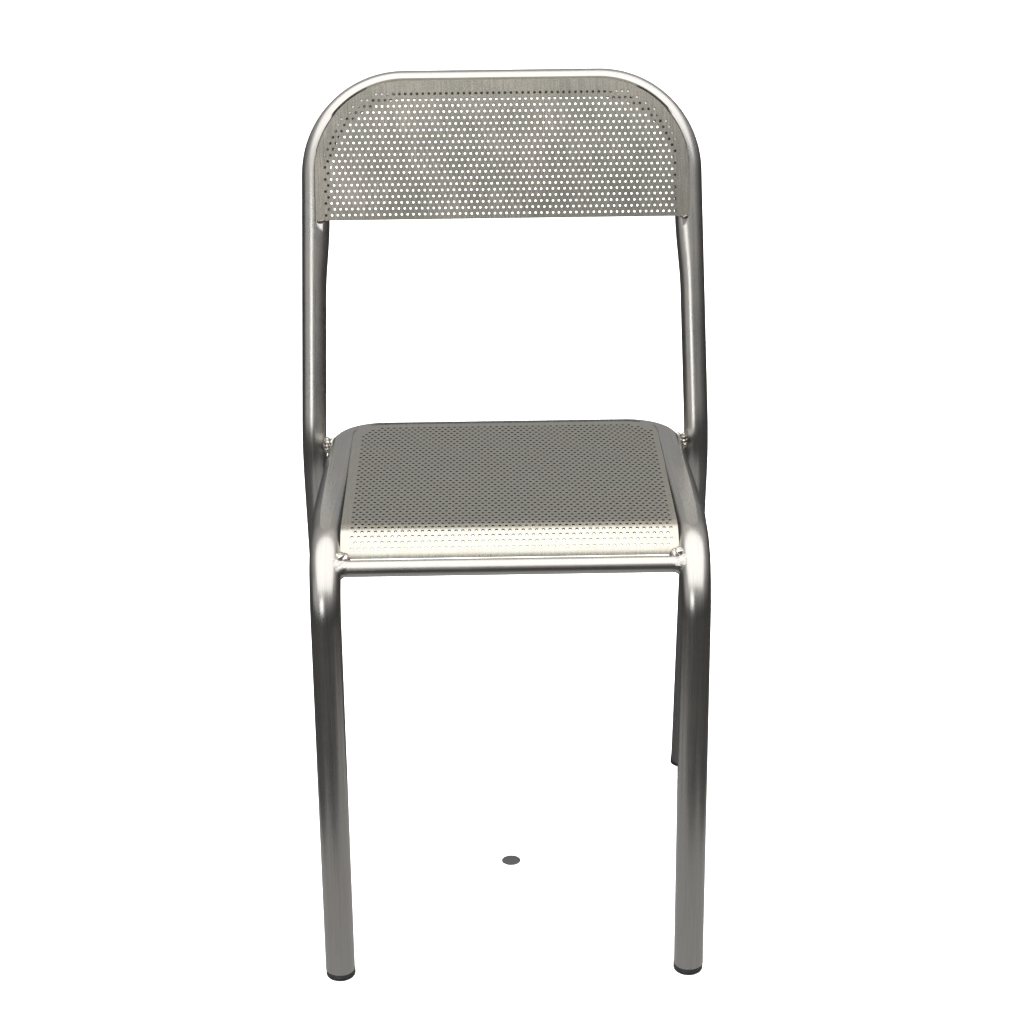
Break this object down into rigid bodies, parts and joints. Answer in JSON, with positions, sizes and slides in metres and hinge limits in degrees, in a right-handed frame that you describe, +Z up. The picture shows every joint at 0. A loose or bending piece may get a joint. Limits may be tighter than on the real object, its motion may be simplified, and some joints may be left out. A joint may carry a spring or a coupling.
{
  "type": "stacking chair",
  "caption": "Stacking chair in bent steel tube, with a flush perforated steel seat that rolls down at the front, a perforated back panel set in the bow, and black glides on the legs.",
  "frame": {"origin": "on the floor, at the middle of the chair's footprint", "axes": "+Z up, +Y towards the back of the chair, +X to the right for someone facing the chair from the front"},
  "size_m": [0.425, 0.4388, 0.8061],
  "materials": {
    "tube_steel": "bare steel tube, brushed lengthwise and clear coated",
    "sheet_steel": "bare perforated steel sheet, fine brushed",
    "weld_bead": "rough weld bead, bright and partly dressed",
    "glide": "black moulded plastic"
  },
  "bodies": {
    "root": {"seat_frame": "tube_steel", "back_frame": "tube_steel", "front_rail": "tube_steel", "seat_panel": "sheet_steel", "back_panel": "sheet_steel", "spacer_left": "tube_steel", "spacer_right": "tube_steel", "glide_front_left": "glide", "glide_front_right": "glide", "glide_rear_left": "glide", "glide_rear_right": "glide", "rail_weld_left": "weld_bead", "rail_weld_right": "weld_bead", "spacer_weld_left": "weld_bead", "spacer_weld_right": "weld_bead", "seat_corner_weld_left": "weld_bead", "seat_corner_weld_right": "weld_bead", "back_corner_weld_left": "weld_bead", "back_corner_weld_right": "weld_bead"}
  },
  "joints": []
}
